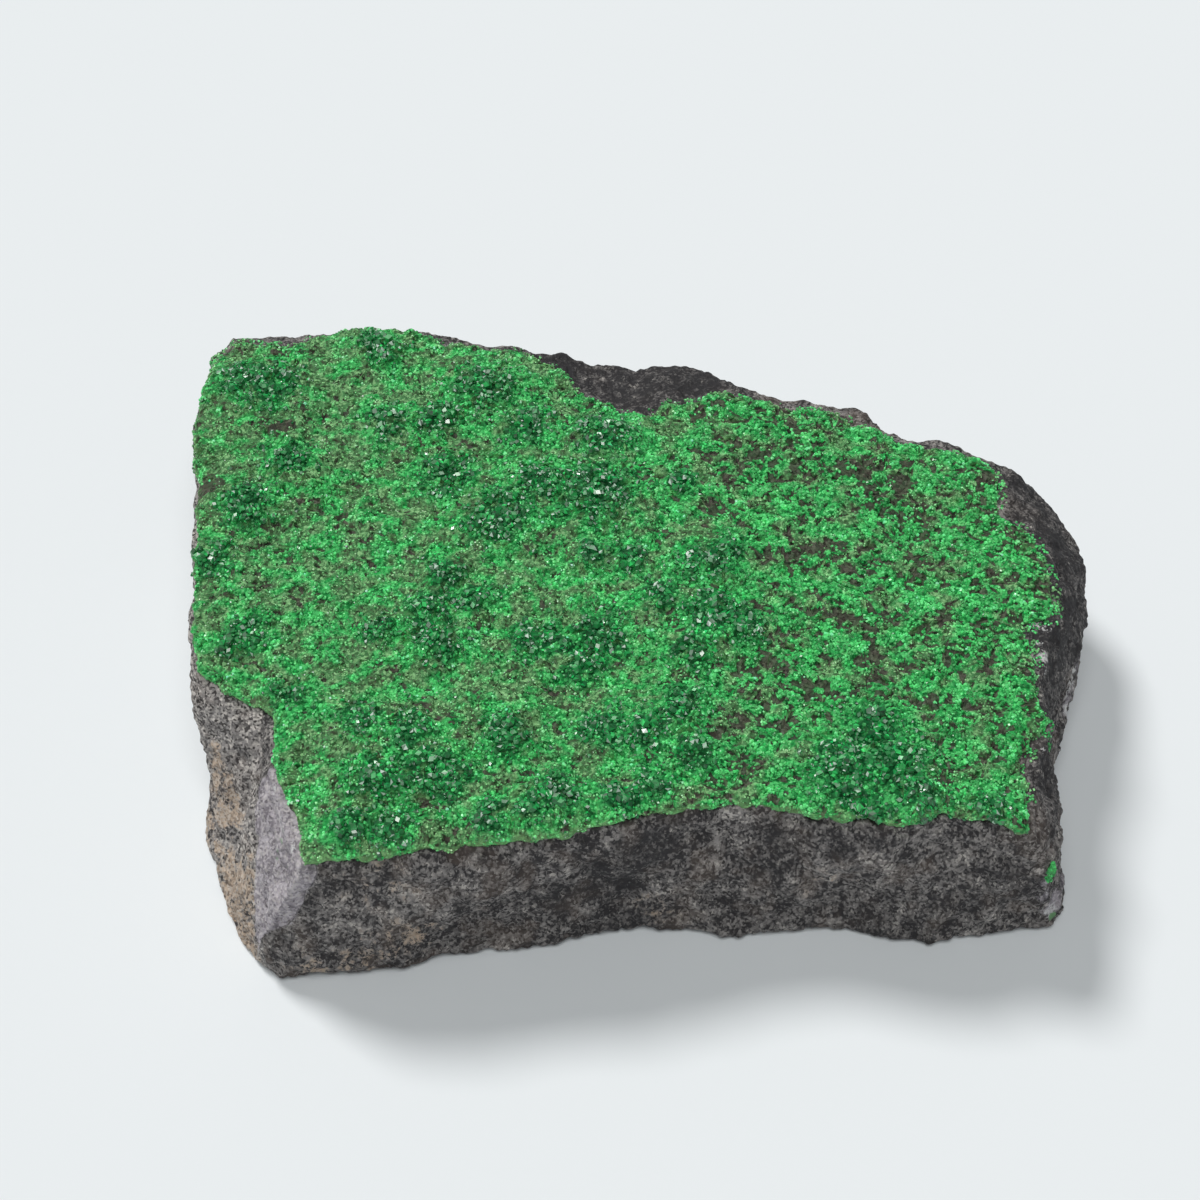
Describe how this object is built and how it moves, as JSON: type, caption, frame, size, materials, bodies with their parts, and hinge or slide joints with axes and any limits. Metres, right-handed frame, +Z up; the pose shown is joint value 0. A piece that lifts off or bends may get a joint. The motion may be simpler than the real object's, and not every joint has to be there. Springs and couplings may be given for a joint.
{
  "type": "uvarovite garnet specimen",
  "caption": "Hand-sized slab of dark chromite rock with a druse of bright green garnet crystals over its upper face, lying on a flat base.",
  "frame": {"origin": "middle of the flat base, under the middle of the whole specimen's box", "axes": "+Z up from the base to the crystals, X along the slab's long side with the bevelled end at +X, front face looking along -Y"},
  "size_m": [0.1086, 0.0834, 0.028],
  "materials": {
    "chromite_rock": "matt broken rock",
    "green_garnet": "bright crystal faces"
  },
  "bodies": {
    "root": {"chromite_rock": "chromite_rock", "garnet_crust": "green_garnet", "side_garnets": "green_garnet"}
  },
  "joints": []
}
